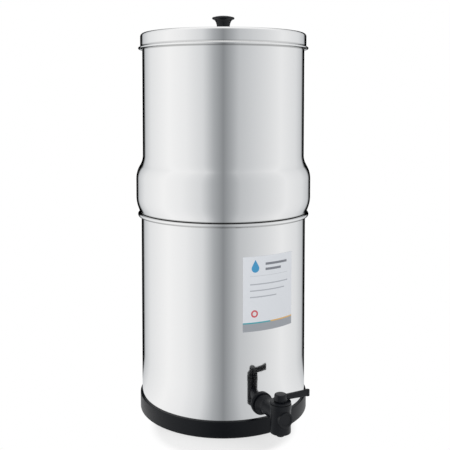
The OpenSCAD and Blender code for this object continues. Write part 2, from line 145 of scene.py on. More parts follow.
def finish_mesh(name, bm):
    """Closes a bmesh into an object, with its faces outwards."""
    bmesh.ops.remove_doubles(bm, verts=bm.verts, dist=WELD)
    bmesh.ops.dissolve_degenerate(bm, edges=bm.edges, dist=WELD)
    bmesh.ops.recalc_face_normals(bm, faces=bm.faces)
    mesh = bpy.data.meshes.new(name)
    bm.to_mesh(mesh)
    bm.free()
    mesh.shade_smooth()
    mesh.set_sharp_from_angle(angle=CORNER)
    piece = bpy.data.objects.new(name, mesh)
    bpy.context.scene.collection.objects.link(piece)
    return piece


def turned(name, outline, steps=ROUND, place=Matrix.Identity(4)):
    """Spins a closed outline of (radius, height) points round its axis, then puts it in place."""
    bm = bmesh.new()
    corners = [bm.verts.new((r, 0, z)) for r, z in outline]
    for a, b in zip(corners, corners[1:] + corners[:1]):
        if a.co.x > WELD or b.co.x > WELD:
            bm.edges.new((a, b))
    bmesh.ops.spin(bm, geom=bm.verts[:] + bm.edges[:], cent=(0, 0, 0), axis=(0, 0, 1),
                   angle=2 * math.pi, steps=steps, use_merge=True)
    bmesh.ops.transform(bm, matrix=place, verts=bm.verts)
    return finish_mesh(name, bm)


def solid(points):
    """A full outline: from the axis, along the points and back to the axis."""
    return [(0, points[0][1])] + points + [(0, points[-1][1])]


# %% [markdown]
# ## Cutting and joining
#
# Holes are drilled and mouldings flow together on the real pieces. Their crossing edges could be drawn by
# hand, but where two round parts meet that is hard to get right, so a Boolean modifier finds them. It is
# applied at once, so that what is kept is a plain mesh, and the cutter is thrown away. A cutter runs `OVER`
# past the surface that it cuts, because two faces in one plane would leave a skin.

# %% Boolean helper
OVER = 1 * MM


def combine(piece, other, operation):
    """Applies one Boolean of two pieces and keeps the first."""
    step = piece.modifiers.new("cut", "BOOLEAN")
    step.object = other
    step.operation = operation
    step.solver = "EXACT"
    depsgraph = bpy.context.evaluated_depsgraph_get()
    result = bpy.data.meshes.new_from_object(piece.evaluated_get(depsgraph))
    piece.modifiers.clear()
    piece.data = result
    result.shade_smooth()
    result.set_sharp_from_angle(angle=CORNER)
    bpy.data.objects.remove(other)
    return piece


def rod(radius, bottom, top, place=Matrix.Identity(4), steps=SMALL_ROUND):
    """A plain round cutter."""
    return turned("cutter", solid([(radius, bottom), (radius, top)]), steps, place)


# %% [markdown]
# ## The tap's place
#
# The tap stands on a bearing of its own. Its pieces are made round the barrel's axis and put in place by
# one matrix. A second matrix lays an outline along the shank, so that its height runs towards the drum.

# %% Tap frame
TAP_BEARING = math.radians(25.5)
SHANK_Z = 38.6 * MM
BARREL_OUT = 46 * MM
TAP_R = DRUM_R + BARREL_OUT
at_tap = Matrix.Rotation(TAP_BEARING, 4, "Z") @ Matrix.Translation((0, -TAP_R, 0))
along_shank = at_tap @ Matrix.Translation((0, 0, SHANK_Z)) @ Matrix.Rotation(-math.pi / 2, 4, "X")
across_tap = at_tap @ Matrix.Translation((0, 0, SHANK_Z)) @ Matrix.Rotation(-math.pi / 2, 4, "Y")
print("barrel axis at", at_tap.translation)

# %% [markdown]
# ## Materials
#
# A picture of the real surface could be wrapped round each piece, but it would need a layout of its own
# and blur close up. So every finish below is made of nodes on Object coordinates: it is sharp at any
# distance and stays put on its piece. The helpers start a material, add the few kinds of node that are
# needed, and hand back their outputs, so that a finish reads like a sum.

# %% Start a finish
def new_finish(name, colour, roughness, metallic=0.0):
    """A material with its Principled shader."""
    finish = bpy.data.materials.new(name)
    finish.use_nodes = True
    shader = finish.node_tree.nodes["Principled BSDF"]
    shader.inputs["Base Color"].default_value = (*colour, 1)
    shader.inputs["Roughness"].default_value = roughness
    shader.inputs["Metallic"].default_value = metallic
    return finish, shader


# %% Nodes and links
def add(finish, kind):
    """A new node of one kind."""
    return finish.node_tree.nodes.new(kind)


def wire(finish, source, target):
    """A link from an output to an input."""
    finish.node_tree.links.new(source, target)


def feed(finish, socket, value):
    """Gives a socket its value: a number, a colour or the output of another node."""
    if isinstance(value, bpy.types.NodeSocket):
        wire(finish, value, socket)
    else:
        socket.default_value = value


# %% Sums and distances
def maths(finish, operation, a, b=0.0, c=0.0):
    """One Math node. Its inputs are numbers or outputs."""
    node = add(finish, "ShaderNodeMath")
    node.operation = operation
    for socket, value in zip(node.inputs, (a, b, c)):
        feed(finish, socket, value)
    return node.outputs["Value"]


def distance(finish, a, b):
    """How far a point is from the middle, when it lies a one way and b the other."""
    squares = [maths(finish, "MULTIPLY", side, side) for side in (a, b)]
    return maths(finish, "SQRT", maths(finish, "ADD", *squares))


# %% Coordinates and noise
def position(finish):
    """The x, y and z of the point that is shaded, on the object."""
    coordinates = add(finish, "ShaderNodeTexCoord")
    split = add(finish, "ShaderNodeSeparateXYZ")
    wire(finish, coordinates.outputs["Object"], split.inputs["Vector"])
    return coordinates.outputs["Object"], split.outputs["X"], split.outputs["Y"], split.outputs["Z"]


def noise(finish, vector, scale, detail=3.0):
    """A noise texture on a vector, from 0 to 1."""
    node = add(finish, "ShaderNodeTexNoise")
    node.inputs["Scale"].default_value = scale
    node.inputs["Detail"].default_value = detail
    wire(finish, vector, node.inputs["Vector"])
    return node.outputs["Fac"]


# %% Remap, blend and bump
def remap(finish, value, start, end, low, high, ramp="LINEAR"):
    """Takes a value from start..end to low..high, and holds it there past either end."""
    node = add(finish, "ShaderNodeMapRange")
    node.interpolation_type = ramp
    names = ("Value", "From Min", "From Max", "To Min", "To Max")
    for name, number in zip(names, (value, start, end, low, high)):
        feed(finish, node.inputs[name], number)
    return node.outputs["Result"]


def blend(finish, share, under, over):
    """Lays a colour over another one, as strongly as share says."""
    node = add(finish, "ShaderNodeMix")
    node.data_type = "RGBA"
    under_socket, over_socket = node.inputs[6:8]
    wire(finish, share, node.inputs["Factor"])
    feed(finish, under_socket, under)
    feed(finish, over_socket, over)
    return node.outputs[2]


def bump(finish, shader, height, depth):
    """Raises the surface by a height from 0 to 1, depth metres at most."""
    node = add(finish, "ShaderNodeBump")
    node.inputs["Strength"].default_value = 1.0
    node.inputs["Distance"].default_value = depth
    wire(finish, height, node.inputs["Height"])
    wire(finish, node.outputs["Normal"], shader.inputs["Normal"])


# %% [markdown]
# ## Turned steel
#
# The vessels are polished on a lathe, which leaves a very fine grain that runs round them. The grain is a
# noise on the coordinates of a cylinder: stretched a long way round and squeezed across, where "across" is
# height on a wall and radius on a floor or a lid, so their sum serves both. It moves the roughness and
# gives a bump of a ten-thousandth of a millimetre.
#
# The folds of the vessels, which are the seat on the rim, the underside of the bead and the rolled brim, get
# painted shade. Each fold is a band of heights whose colour is darkened where shade and shadow gaps fall.
# Bands on the height are enough, because every vessel is turned round the same axis.

# %% Folds with painted shade
# Each fold: its lowest and highest level, how far it fades out, and how dark its painted shade is from 0 to
# 1
SHADED_FOLDS = ((SEAT + 0.1 * MM, SEAT + 0.9 * MM, 1.7 * MM, 0.43),
         (DRUM_RIM - 5.2 * MM, DRUM_RIM - 3.2 * MM, 0.5 * MM, 0.45),
         (HEM_TOP - 5.0 * MM, HEM_TOP - 3.6 * MM, 0.5 * MM, 0.44),
         (HEM_TOP - 0.8 * MM, HEM_TOP + 1.1 * MM, 0.4 * MM, 0.24))
# The dark colour of the painted shade in the folds
PAINTED_SHADE_COLOUR = (0.045, 0.046, 0.040, 1)


def painted_shade_mask(finish, z):
    """How dark the painted shade on the steel is at height z."""
    mask = 0.0
    for low, high, fade, depth in SHADED_FOLDS:
        off_middle = maths(finish, "ABSOLUTE", maths(finish, "SUBTRACT", z, (low + high) / 2))
        half = (high - low) / 2
        band = remap(finish, off_middle, half, half + fade, depth, 0.0, "SMOOTHSTEP")
        mask = maths(finish, "MAXIMUM", mask, band)
    return mask


# %% Steel
GRAIN_ROUND = 6.0
GRAIN_ACROSS = 900.0
GRAIN_DEPTH = 0.0001 * MM
GRAIN_DETAIL = 4.0
GRAIN_STRETCH = 0.35


def turned_steel(name, colour, smooth, rough):
    """Polished metal with a grain round the axis, between two roughnesses, and painted shade in its folds.
    """
    finish, shader = new_finish(name, colour, (smooth + rough) / 2, metallic=1.0)
    _, x, y, z = position(finish)
    across = maths(finish, "ADD", distance(finish, x, y), z)
    join = add(finish, "ShaderNodeCombineXYZ")
    for axis, value, scale in (("X", x, GRAIN_ROUND), ("Y", y, GRAIN_ROUND), ("Z", across, GRAIN_ACROSS)):
        wire(finish, maths(finish, "MULTIPLY", value, scale), join.inputs[axis])
    grain = noise(finish, join.outputs["Vector"], 1.0, GRAIN_DETAIL)
    wire(finish, remap(finish, grain, 0, 1, smooth, rough), shader.inputs["Roughness"])
    bump(finish, shader, grain, GRAIN_DEPTH)
    # Painted shade: the base colour is darkened in the folds, where shade and shadow gaps fall
    shaded_colour = blend(finish, painted_shade_mask(finish, z), (*colour, 1), PAINTED_SHADE_COLOUR)
    wire(finish, shaded_colour, shader.inputs["Base Color"])
    shader.inputs["Anisotropic"].default_value = GRAIN_STRETCH
    tangent = add(finish, "ShaderNodeTangent")
    tangent.direction_type = "RADIAL"
    tangent.axis = "Z"
    wire(finish, tangent.outputs["Tangent"], shader.inputs["Tangent"])
    return finish


STEEL = turned_steel("turned_steel", (0.88, 0.88, 0.88), 0.05, 0.09)
SCREW_STEEL = turned_steel("screw_steel", (0.70, 0.71, 0.72), 0.16, 0.26)
print("steels:", STEEL.name, SCREW_STEEL.name, "with", len(SHADED_FOLDS), "dull folds")

# %% [markdown]
# ## Plastic, rubber, ceramic and carbon
#
# The other finishes differ in how rough they are and how coarse their surface is, so one function makes
# them all: a fine noise for the texture of the mould, and a broad one for faint differences of tone.

# %% Moulded and pressed finishes
PATCHES = 60.0
ROUGH_SPREAD = 0.05


def moulded(name, colour, roughness, grain_mm, depth_mm, tone=0.08, shine=0.5):
    """A finish with a grain of one size and depth, and faint patches of a lighter and a darker tone."""
    finish, shader = new_finish(name, colour, roughness)
    shader.inputs["Specular IOR Level"].default_value = shine
    spot, _, _, _ = position(finish)
    fine = noise(finish, spot, 1 / (grain_mm * MM), GRAIN_DETAIL)
    broad = noise(finish, spot, PATCHES)
    spread = remap(finish, fine, 0, 1, roughness - ROUGH_SPREAD, roughness + ROUGH_SPREAD)
    wire(finish, spread, shader.inputs["Roughness"])
    bump(finish, shader, fine, depth_mm * MM)
    dark = [c * (1 - tone) for c in colour]
    light = [min(c * (1 + tone), 1) for c in colour]
    wire(finish, blend(finish, broad, (*dark, 1), (*light, 1)), shader.inputs["Base Color"])
    return finish


BLACK_PLASTIC = moulded("black_plastic", (0.0037, 0.0045, 0.0067), 0.36, 0.35, 0.010, shine=0.3)
RUBBER = moulded("black_rubber", (0.0027, 0.0037, 0.0057), 0.40, 0.6, 0.015, shine=0.2)
CERAMIC = moulded("bisque_ceramic", (0.86, 0.83, 0.76), 0.82, 0.5, 0.05, tone=0.04)
CARBON = moulded("pressed_carbon", (0.03, 0.03, 0.032), 0.9, 0.9, 0.12, tone=0.3)
WHITE_PLASTIC = moulded("white_plastic", (0.82, 0.84, 0.85), 0.38, 0.4, 0.01, tone=0.02)
for finish in (BLACK_PLASTIC, RUBBER, CERAMIC, CARBON, WHITE_PLASTIC):
    print("finish", finish.name, len(finish.node_tree.nodes), "nodes")

# %% [markdown]
# ## Dressing a piece
#
# Each piece of the real thing is carried by a body that can move: the lower unit, the upper unit, the lid or
# the valve. Doing the same steps for each piece by hand invites a slip, so one function gives it its
# material, lets it ride on its body, and hides the solid that it stands for.

# %% Dress
def dress(piece, finish, body, node):
    """Finishes a piece, ties it to its body and hides the solid that it stands for."""
    piece.data.materials.clear()
    piece.data.materials.append(finish)
    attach(piece, body)
    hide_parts(node)
    print(piece.name, len(piece.data.polygons), "faces")
    return piece


# %% [markdown]
# ## Base ring
#
# A moulded rubber band with a foot that turns in under the drum, so that the steel never touches the
# table. A torus or a bevelled cylinder would need its inside cut out. One closed outline, spun, gives both
# sides at once. The lower edge is rounded as a mould leaves it, and the upper edge is thinner.

# %% Base ring
RING_R = 110.6 * MM
FOOT_R = 95 * MM
LOW_EDGE = 1.2 * MM
TOP_EDGE = 0.6 * MM

ring_outline = [(FOOT_R, DRUM_BASE), (FOOT_R, 0)]
ring_outline += arc((RING_R - LOW_EDGE, LOW_EDGE), LOW_EDGE, -90, 0, 8)
ring_outline += arc((RING_R - TOP_EDGE, RING_TOP - TOP_EDGE), TOP_EDGE, 0, 90, 6)
ring_outline += [(DRUM_R, RING_TOP), (DRUM_R, DRUM_BASE)]
dress(turned("rubber_base_ring", ring_outline), RUBBER, "lower_unit", "base_ring")

# %% [markdown]
# ## Lower chamber
#
# A drum of stainless sheet with a rounded bottom edge and a rim that is rolled outwards into a bead. A
# cylinder with a Solidify modifier would do for the wall but not for the roll. So one path runs along the
# inside, from the middle of the floor up the wall and round the bead, and the sheet lies outside it. The
# hole for the tap is cut with a rod. Two rows of points, above and below it, keep its triangles short.

# %% Lower chamber
DRUM_EDGE = 6 * MM
BEAD = 2.65 * MM
BEAD_END = -120
TAP_HOLE_R = 8.3 * MM
HOLE_ROW = 12 * MM

inner_edge = DRUM_EDGE - SHEET
drum_in = DRUM_R - SHEET
bead_centre = (drum_in + BEAD, DRUM_RIM - BEAD)
drum_path = [(0, DRUM_BASE + SHEET)]
drum_path += arc((drum_in - inner_edge, DRUM_BASE + SHEET + inner_edge), inner_edge, -90, 0, 12)
drum_path += [(drum_in, SHANK_Z - HOLE_ROW), (drum_in, SHANK_Z + HOLE_ROW)]
drum_path += arc(bead_centre, BEAD, 180, BEAD_END, 32)
drum = turned("lower_drum", sheet_outline(drum_path, -SHEET))
combine(drum, rod(TAP_HOLE_R, BARREL_OUT - OVER, BARREL_OUT + 3 * OVER, along_shank), "DIFFERENCE")
dress(drum, STEEL, "lower_unit", "lower_chamber")

# %% [markdown]
# ## Upper chamber
#
# The upper vessel nests in the drum with a short neck, rests on the bead with a small seat, swells into a
# belly and runs up straight to a rolled hem. A free curve could follow the belly, but steel is spun over
# round tools, so its path is made of arcs. They meet without a corner, because their centres are worked
# out from each other, and light runs over the belly in one soft band. The floor has a hole for each candle.

# %% Sizes of the upper chamber
FLOOR_EDGE = 8 * MM
SEAT_R = bead_centre[0] - NECK_R
SEAT_END = 95
SHOULDER = 2.2 * MM
BELLY_R = UPPER_R + 8.65 * MM
BELLY_Z = SEAT + 20.4 * MM
BELLY_TOP = SEAT + 43.5 * MM
FLANK = 20
FLANK_ARC = 40 * MM
BELLY_ARC = 33 * MM
WAIST = 31.6
HEM = 1.6 * MM
HEM_END = -100
print("belly", 2 * BELLY_R, "wide from", BELLY_Z, "to", BELLY_TOP)

# %% Centres of its arcs
flank_sin, flank_cos = math.sin(math.radians(FLANK)), math.cos(math.radians(FLANK))
flank_end = (BELLY_R - FLANK_ARC * (1 - flank_cos), BELLY_Z - FLANK_ARC * flank_sin)
shoulder_drop = flank_end[1] - SEAT - SHOULDER * (1 - flank_sin)
shoulder_in = SHOULDER * flank_cos + shoulder_drop * flank_sin / flank_cos
shoulder = (flank_end[0] - shoulder_in, SEAT + SHOULDER)
waist_share = 1 - math.cos(math.radians(WAIST))
waist_arc = (BELLY_R - UPPER_R - BELLY_ARC * waist_share) / waist_share
waist_z = BELLY_TOP + (BELLY_ARC + waist_arc) * math.sin(math.radians(WAIST))
hem_centre = (UPPER_R - SHEET + HEM, HEM_TOP - HEM)
print("shoulder", shoulder, "waist arc", waist_arc, "hem", hem_centre)

# %% Its wall and floor
upper_path = [(0, FLOOR)]
upper_path += arc((NECK_R - FLOOR_EDGE, FLOOR + FLOOR_EDGE), FLOOR_EDGE, -90, 0, 14)
upper_path += arc((NECK_R + SEAT_R, SEAT - SEAT_R), SEAT_R, 180, SEAT_END, 14)
upper_path += arc(shoulder, SHOULDER, -90, -FLANK, 8)
upper_path += arc((BELLY_R - FLANK_ARC, BELLY_Z), FLANK_ARC, -FLANK, 0, 20)
upper_path += arc((BELLY_R - BELLY_ARC, BELLY_TOP), BELLY_ARC, 0, WAIST, 24)
upper_path += arc((UPPER_R + waist_arc, waist_z), waist_arc, 180 + WAIST, 180, 24)[1:]
upper_path += arc(hem_centre, HEM - SHEET, 180, HEM_END, 24)
upper = turned("upper_vessel", sheet_outline(upper_path, SHEET))
print(len(upper_path), "points on its outside")

# %% Holes for the candles
CANDLES = 4
CANDLE_RING = 56 * MM
STEM_R = 6 * MM


def at_candle(i):
    """The place of one candle's axis."""
    bearing = math.pi / CANDLES + 2 * math.pi / CANDLES * i
    return Matrix.Rotation(bearing, 4, "Z") @ Matrix.Translation((CANDLE_RING, 0, 0))


for i in range(CANDLES):
    hole = rod(STEM_R + PLAY, FLOOR - OVER, FLOOR + 2 * OVER, at_candle(i))
    combine(upper, hole, "DIFFERENCE")
dress(upper, STEEL, "upper_unit", "upper_chamber")

# %% [markdown]
# ## Lid
#
# The lid is spun from thinner sheet: a crown that rises only a few millimetres, a tight edge, a straight
# skirt, and a brim that flares out and is rolled under. It could be drawn by eye, but then it might touch
# the hem of the vessel or float above it. So the hollow of the brim is set by its distance from the hem:
# the radius of the roll, the play and the sheet.

# %% Sizes of the lid
LID_EDGE = 4 * MM
SKIRT_H = 11.5 * MM
BRIM_HOLLOW = 2.2 * MM
BRIM = 1.32 * MM
BRIM_OUT = 2.7 * MM
BRIM_END = -220
CROWN = 1250 * MM
LAND_R = 10 * MM
SCREW_HOLE_R = 2.8 * MM
print("skirt", SKIRT_H, "high, brim", BRIM_OUT, "out")

# %% Where its arcs meet
hollow_r = SKIRT_R + BRIM_HOLLOW
brim_r = SKIRT_R + BRIM_OUT - BRIM
hem_reach = HEM + PLAY + LID_SHEET + BRIM_HOLLOW
hollow_z = hem_centre[1] + math.sqrt(hem_reach ** 2 - (hollow_r - hem_centre[0]) ** 2)
brim_drop = math.sqrt((BRIM_HOLLOW + BRIM) ** 2 - (hollow_r - brim_r) ** 2)
brim_angle = math.degrees(math.atan2(brim_drop, hollow_r - brim_r))
crown_angle = math.degrees(math.asin((SKIRT_R - LID_EDGE - LAND_R) / (CROWN - LID_EDGE)))
print("brim starts at", hollow_z, "and rolls from", brim_angle, "degrees")

# %% Lid
lid_path = [(SCREW_HOLE_R, LID_TOP)]
lid_path += arc((LAND_R, LID_TOP - CROWN), CROWN, 90, 90 - crown_angle, 24)
lid_path += arc((SKIRT_R - LID_EDGE, hollow_z + SKIRT_H), LID_EDGE, 90 - crown_angle, 0, 14)[1:]
lid_path += arc((hollow_r, hollow_z), BRIM_HOLLOW, 180, 180 + brim_angle, 14)
lid_path += arc((brim_r, hollow_z - brim_drop), BRIM, brim_angle, BRIM_END, 28)[1:]
dress(turned("steel_lid", sheet_outline(lid_path, -LID_SHEET)), STEEL, "lid_unit", "lid")

# %% [markdown]
# ## Lid knob
#
# A turned knob with a narrow foot, a waist that flares and a domed cap with a rounded rim. The waist could
# be an arc, but an arc is as round at the foot as at the cap. One curve with two handles stays upright at
# the foot and opens late, as the real one does. The blind hole takes the lid's screw.

# %% Sizes of the knob
KNOB_R = 14.65 * MM
KNOB_FOOT_R = 8.15 * MM
KNOB_RIM = 1.45 * MM
KNOB_DOME = 1.9 * MM
SCREW_R = 2.5 * MM
THREAD_PLAY = 0.05 * MM
SCREW_DEPTH = 12 * MM
UPRIGHT_TO = 0.55
FLARE_FROM = 0.92
FLARE = 1.2 * MM
RIM_TURN = 80
print("knob", 2 * KNOB_R, "wide on a foot of", 2 * KNOB_FOOT_R)

# %% Lid knob
knob_under = KNOB_TOP - KNOB_DOME - 2 * KNOB_RIM
knob_h = knob_under - LID_TOP
rim_centre = (KNOB_R - KNOB_RIM, knob_under + KNOB_RIM)
dome = (rim_centre[0] ** 2 + KNOB_DOME ** 2) / (2 * KNOB_DOME)
dome_angle = math.degrees(math.asin(rim_centre[0] / dome))
knob_outline = [(SCREW_R + THREAD_PLAY, LID_TOP)]
knob_outline += curve((KNOB_FOOT_R, LID_TOP), (KNOB_FOOT_R, LID_TOP + UPRIGHT_TO * knob_h),
                      (KNOB_FOOT_R + FLARE, LID_TOP + FLARE_FROM * knob_h),
                      (rim_centre[0], knob_under), 24)
knob_outline += arc(rim_centre, KNOB_RIM, -RIM_TURN, RIM_TURN, 12)
knob_outline += arc((0, KNOB_TOP - dome), dome, 90 - dome_angle, 90, 14)
knob_outline += [(0, LID_TOP + SCREW_DEPTH), (SCREW_R + THREAD_PLAY, LID_TOP + SCREW_DEPTH)]
knob = turned("turned_knob", knob_outline, SMALL_ROUND)
dress(knob, BLACK_PLASTIC, "lid_unit", "lid_knob")

# %% [markdown]
# ## Tap body
#
# One moulding: an upright barrel with a collar and a lip at its outlet, a threaded shank that runs through
# the wall, and a round boss on the front. One block could be carved into it, but all its parts are round.
# So each is turned round its own axis, they are united, and the ways for the water are drilled afterwards,
# as the mould's cores would leave them. The thread is a row of ridges: a true screw line would look the
# same from a step away, and a ridge can be part of the spun outline.

# %% Threads
PITCH = 1.5 * MM
THREAD_DEPTH = 0.5 * MM
CREST = (0.35, 0.65)


def thread(radius, start, end):
    """The outline of a thread as a row of ridges, from one height to another."""
    turns = max(int(abs(end - start) / PITCH), 1)
    step = (end - start) / turns
    points = []
    for i in range(turns):
        points.append((radius - THREAD_DEPTH, start + step * i))
        points += [(radius, start + step * (i + share)) for share in CREST]
    return points + [(radius - THREAD_DEPTH, end)]


# %% Sizes of the barrel
BARREL_R = 12.2 * MM
COLLAR_R = 12.7 * MM
BARREL_TOP = SHANK_Z + 17.4 * MM
BARREL_BOTTOM = SHANK_Z - 16.8 * MM
COLLAR_H = 5.5 * MM
TAPER = 0.6 * MM
LIP_R = 4.75 * MM
LIP_ROOT_R = 6.5 * MM
LIP_H = 4.6 * MM
SOFT = 0.6 * MM
COLLAR_TURN = 50
print("barrel from", BARREL_BOTTOM - LIP_H, "to", BARREL_TOP)

# %% Barrel
barrel_outline = [(LIP_R - SOFT, BARREL_BOTTOM - LIP_H)]
barrel_outline += arc((LIP_R - SOFT, BARREL_BOTTOM - LIP_H + SOFT), SOFT, -90, 0, 5)[1:]
barrel_outline += [(LIP_ROOT_R, BARREL_BOTTOM)]
barrel_outline += arc((BARREL_R - TAPER, BARREL_BOTTOM + TAPER), TAPER, -90, 0, 6)
barrel_outline += [(BARREL_R, BARREL_TOP - COLLAR_H - SOFT)]
barrel_outline += arc((COLLAR_R - SOFT, BARREL_TOP - COLLAR_H), SOFT, -COLLAR_TURN, 0, 4)
barrel_outline += arc((COLLAR_R - SOFT, BARREL_TOP - SOFT), SOFT, 0, 90, 5)
tap = turned("tap_moulding", solid(barrel_outline), SMALL_ROUND, at_tap)

# %% Sizes of the shank
SHANK_R = 8 * MM
FLANGE_R = 11.75 * MM
FLANGE_T = 4 * MM
CONE_R = 10 * MM
CONE_L = 7 * MM
WASHER_T = 3 * MM
WALL_WAY = 2 * MM
SHANK_PAST = 13 * MM
SHANK_END = BARREL_OUT + SHEET + SHANK_PAST
SHANK_TIP = 1 * MM
FLANGE_Y = BARREL_OUT - WASHER_T - FLANGE_T
print("shank goes", SHANK_PAST, "into the drum")

# %% Shank
shank_outline = [(SHANK_R, 0)]
shank_outline += curve((SHANK_R, FLANGE_Y - CONE_L), (SHANK_R, FLANGE_Y - CONE_L / 2),
                       (CONE_R, FLANGE_Y - CONE_L / 4), (FLANGE_R - SOFT, FLANGE_Y), 12)
shank_outline += arc((FLANGE_R - SOFT, FLANGE_Y + SOFT), SOFT, -90, 0, 5)[1:]
shank_outline += [(FLANGE_R, FLANGE_Y + FLANGE_T), (SHANK_R, FLANGE_Y + FLANGE_T)]
shank_outline += thread(SHANK_R, BARREL_OUT + WALL_WAY, SHANK_END - SHANK_TIP)
shank_outline += [(SHANK_R - SHANK_TIP, SHANK_END)]
combine(tap, turned("shank", solid(shank_outline), SMALL_ROUND, along_shank), "UNION")
print("barrel and shank", len(tap.data.polygons), "faces")

# %% Boss
BOSS_R = 9 * MM
BOSS_OUT = BARREL_R + 1.2 * MM
BOSS_UP = 1.5 * MM
DISC_R = 6 * MM
DISC_T = 0.8 * MM

boss_outline = [(DISC_R, DISC_T - BOSS_OUT), (DISC_R + SOFT, -BOSS_OUT)]
boss_outline += arc((BOSS_R - SOFT, SOFT - BOSS_OUT), SOFT, -90, 0, 5)
boss_outline += [(BOSS_R, 0)]
boss_place = along_shank @ Matrix.Translation((0, -BOSS_UP, 0))
combine(tap, turned("boss", solid(boss_outline), SMALL_ROUND, boss_place), "UNION")
print("with the boss", len(tap.data.polygons), "faces")

# %% Ways for the water
CORE_BORE_R = 8.5 * MM
CORE_FLOOR = BARREL_BOTTOM + 6 * MM
OUTLET_R = 3.5 * MM
SHANK_BORE_R = 4.5 * MM

combine(tap, rod(CORE_BORE_R, CORE_FLOOR, BARREL_TOP + OVER, at_tap), "DIFFERENCE")
combine(tap, rod(OUTLET_R, BARREL_BOTTOM - LIP_H - OVER, CORE_FLOOR + OVER, at_tap), "DIFFERENCE")
combine(tap, rod(SHANK_BORE_R, 0, SHANK_END + OVER, along_shank), "DIFFERENCE")
dress(tap, BLACK_PLASTIC, "lower_unit", "tap_body")

# %% [markdown]
# ## Tap washer
#
# A thick rubber washer seals the flange against the drum. The nut squeezes it until its inner face follows
# the drum, while its outer face stays flat. It could be bent with a modifier, but the drum's own shape is
# known, so it is a turned ring with the drum cut out of it.

# %% Outer washer
WASHER_R = 13.75 * MM
SEAL_GAP = 0.02 * MM

washer_front = FLANGE_Y + FLANGE_T
washer_outline = [(TAP_HOLE_R, washer_front)]
washer_outline += arc((WASHER_R - SOFT, washer_front + SOFT), SOFT, -90, 0, 5)
washer_outline += [(WASHER_R, BARREL_OUT + WALL_WAY), (TAP_HOLE_R, BARREL_OUT + WALL_WAY)]
washer = turned("tap_seal", washer_outline, SMALL_ROUND, along_shank)
combine(washer, rod(DRUM_R + SEAL_GAP, 0, 2 * SHANK_Z, steps=ROUND), "DIFFERENCE")
dress(washer, RUBBER, "lower_unit", "tap_outer_washer")

# %% [markdown]
# ## Tap core
#
# The plug that turns in the barrel: two grooves for its sealing rings, a flange that closes the barrel and
# a square that drives it. A port in its side meets the shank when the tap is open, and leads down to the
# outlet. The grooves could be cut one by one, but they are as round as the rest, so they belong to the
# outline. Only the square is a block. It starts as a cube, and its helper can also bevel the edges, which
# other blocks further on need.

# %% Block helper
def block(name, low, high, edge=0.0, place=Matrix.Identity(4)):
    """A rectangular block between two corners. Its edges are rounded if edge is given."""
    bm = bmesh.new()
    bmesh.ops.create_cube(bm, size=1)
    size = Vector(high) - Vector(low)
    bmesh.ops.scale(bm, vec=size, verts=bm.verts)
    bmesh.ops.translate(bm, vec=(Vector(low) + Vector(high)) / 2, verts=bm.verts)
    if edge:
        bmesh.ops.bevel(bm, geom=bm.edges[:], offset=edge, segments=3, profile=0.5,
                        affect="EDGES", material=-1)
    bmesh.ops.transform(bm, matrix=place, verts=bm.verts)
    return finish_mesh(name, bm)


# %% Sizes of the core
CORE_PLAY = 0.05 * MM
CORE_R = CORE_BORE_R - CORE_PLAY
CORE_BOTTOM = CORE_FLOOR + PLAY
CORE_TOP = BARREL_TOP + PLAY
GROOVE_R = CORE_R - 1.5 * MM
GROOVE_HALF = 0.75 * MM
SEALS = (SHANK_Z - 6 * MM, SHANK_Z + 9 * MM)
CORE_FLANGE_R = 12.3 * MM
HUB_Z = CORE_TOP + 2.4 * MM
PORT_R = 3.3 * MM
DRIVE_HALF = 3.2 * MM
DRIVE_H = 6.2 * MM
print("core from", CORE_BOTTOM, "to", HUB_Z)

# %% Tap core
core_outline = [(CORE_R - SOFT, CORE_BOTTOM), (CORE_R, CORE_BOTTOM + SOFT)]
for seal in SEALS:
    core_outline += [(CORE_R, seal - GROOVE_HALF), (GROOVE_R, seal - GROOVE_HALF),
                     (GROOVE_R, seal + GROOVE_HALF), (CORE_R, seal + GROOVE_HALF)]
core_outline += [(CORE_R, CORE_TOP)]
core_outline += arc((CORE_FLANGE_R - SOFT, CORE_TOP + SOFT), SOFT, -90, 0, 5)
core_outline += arc((CORE_FLANGE_R - SOFT, HUB_Z - SOFT), SOFT, 0, 90, 5)
core = turned("tap_plug", solid(core_outline), SMALL_ROUND, at_tap)
drive = block("drive", (-DRIVE_HALF, -DRIVE_HALF, HUB_Z - OVER),
              (DRIVE_HALF, DRIVE_HALF, HUB_Z + DRIVE_H), place=at_tap)
combine(core, drive, "UNION")
combine(core, rod(PORT_R, CORE_BOTTOM - OVER, SHANK_Z, at_tap), "DIFFERENCE")
combine(core, rod(PORT_R, 0, CORE_BORE_R + OVER, across_tap), "DIFFERENCE")
dress(core, BLACK_PLASTIC, "tap_valve", "tap_core")

# %% [markdown]
# ## Tap lever
#
# A round hub, a flat blade that grows towards its tip and a small upright block for the finger, all one
# moulding. It could be pulled out of one cube face by face, but the hub and the end are round. So these are
# turned, the blade is a block whose tip is scaled up before its edges are rounded, and the three are
# united. The socket in the hub is the plug's square with a little play.

# %% Sizes of the lever
HUB_R = 7.2 * MM
HUB_H = 8.2 * MM
HUB_FOOT_R = 7.9 * MM
HUB_FOOT_H = 3.4 * MM
HUB_EDGE = 1.6 * MM
HUB_FOOT_EDGE = 0.4 * MM
HUB_FOOT_TURN = 80
BLADE_Z = HUB_Z + 3.4 * MM
BLADE_ROOT = 5.2 * MM
BLADE_TIP = 36.3 * MM
BLADE_H = 6 * MM
BLADE_TIP_H = 7.4 * MM
BLADE_T = 4 * MM
BLADE_EDGE = 0.7 * MM
END_R = 2.7 * MM
END_H = 7.6 * MM
END_ROUND = 32
SOCKET_HALF = DRIVE_HALF + THREAD_PLAY
SOCKET_ROOM = 0.5 * MM
print("lever reaches", BLADE_TIP + END_R, "from its axis")

